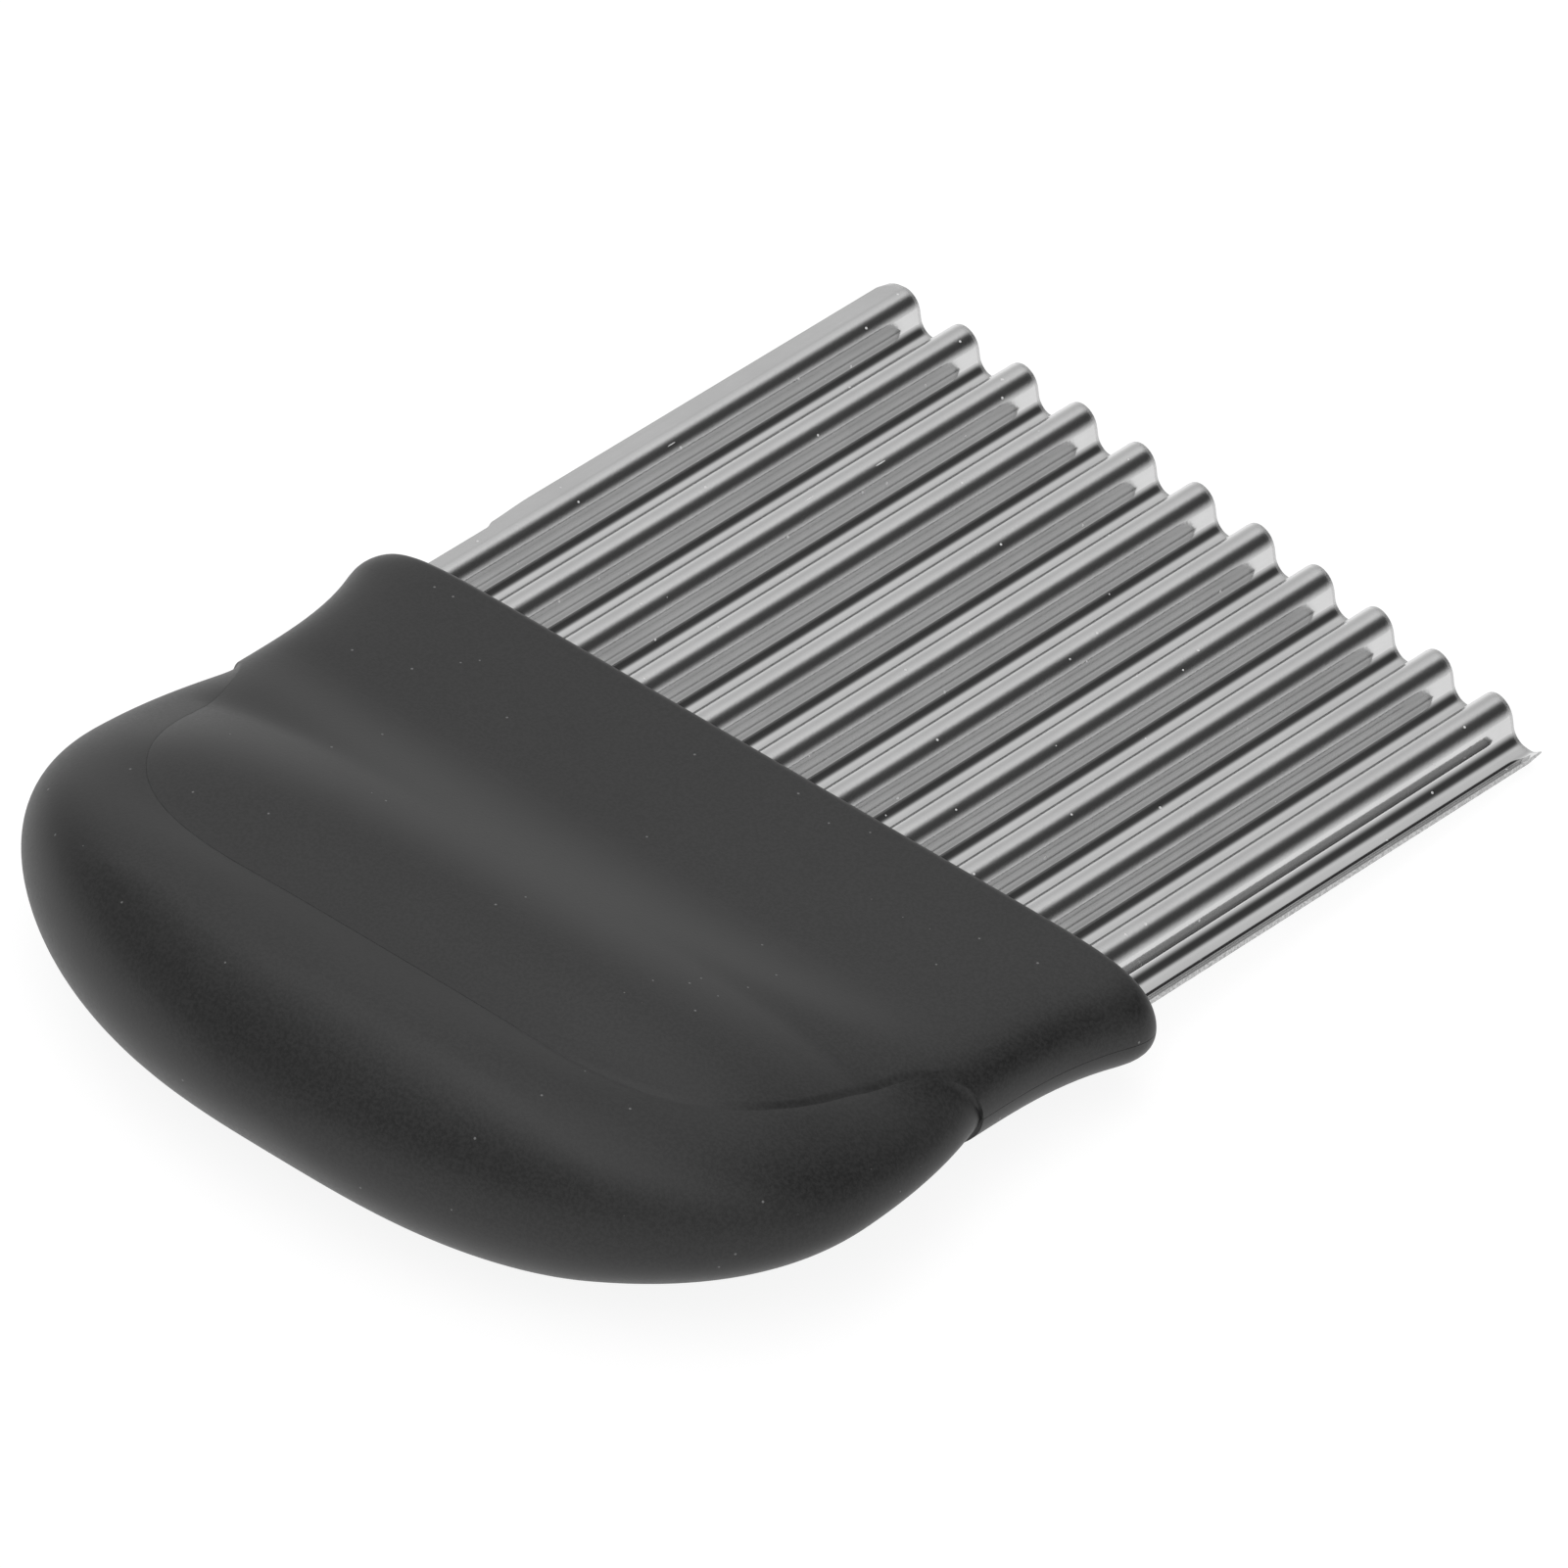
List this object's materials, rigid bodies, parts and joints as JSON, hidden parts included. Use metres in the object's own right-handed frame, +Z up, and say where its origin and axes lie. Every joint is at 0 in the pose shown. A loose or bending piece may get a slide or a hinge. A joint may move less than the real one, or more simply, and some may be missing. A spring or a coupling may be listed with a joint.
{
  "type": "crinkle cutter",
  "caption": "Hand-held crinkle cutter: a corrugated steel blade with a slanted ground edge, clamped in a wide, flat palm handle with a soft grip.",
  "frame": {"origin": "on the surface that the cutter lies on, under the middle of its box", "axes": "+Y from the handle towards the cutting edge, +Z up, +X across the blade to the right"},
  "size_m": [0.0916, 0.1266, 0.0202],
  "materials": {
    "steel": "bright rolled sheet with fine scratches",
    "hard_plastic": "fine matte texture, soft to the touch",
    "soft_plastic": "fine matte texture, soft to the touch"
  },
  "bodies": {
    "root": {"corrugated_blade": "steel", "handle_upper_half": "hard_plastic", "handle_lower_half": "hard_plastic", "palm_grip": "soft_plastic"}
  },
  "joints": []
}
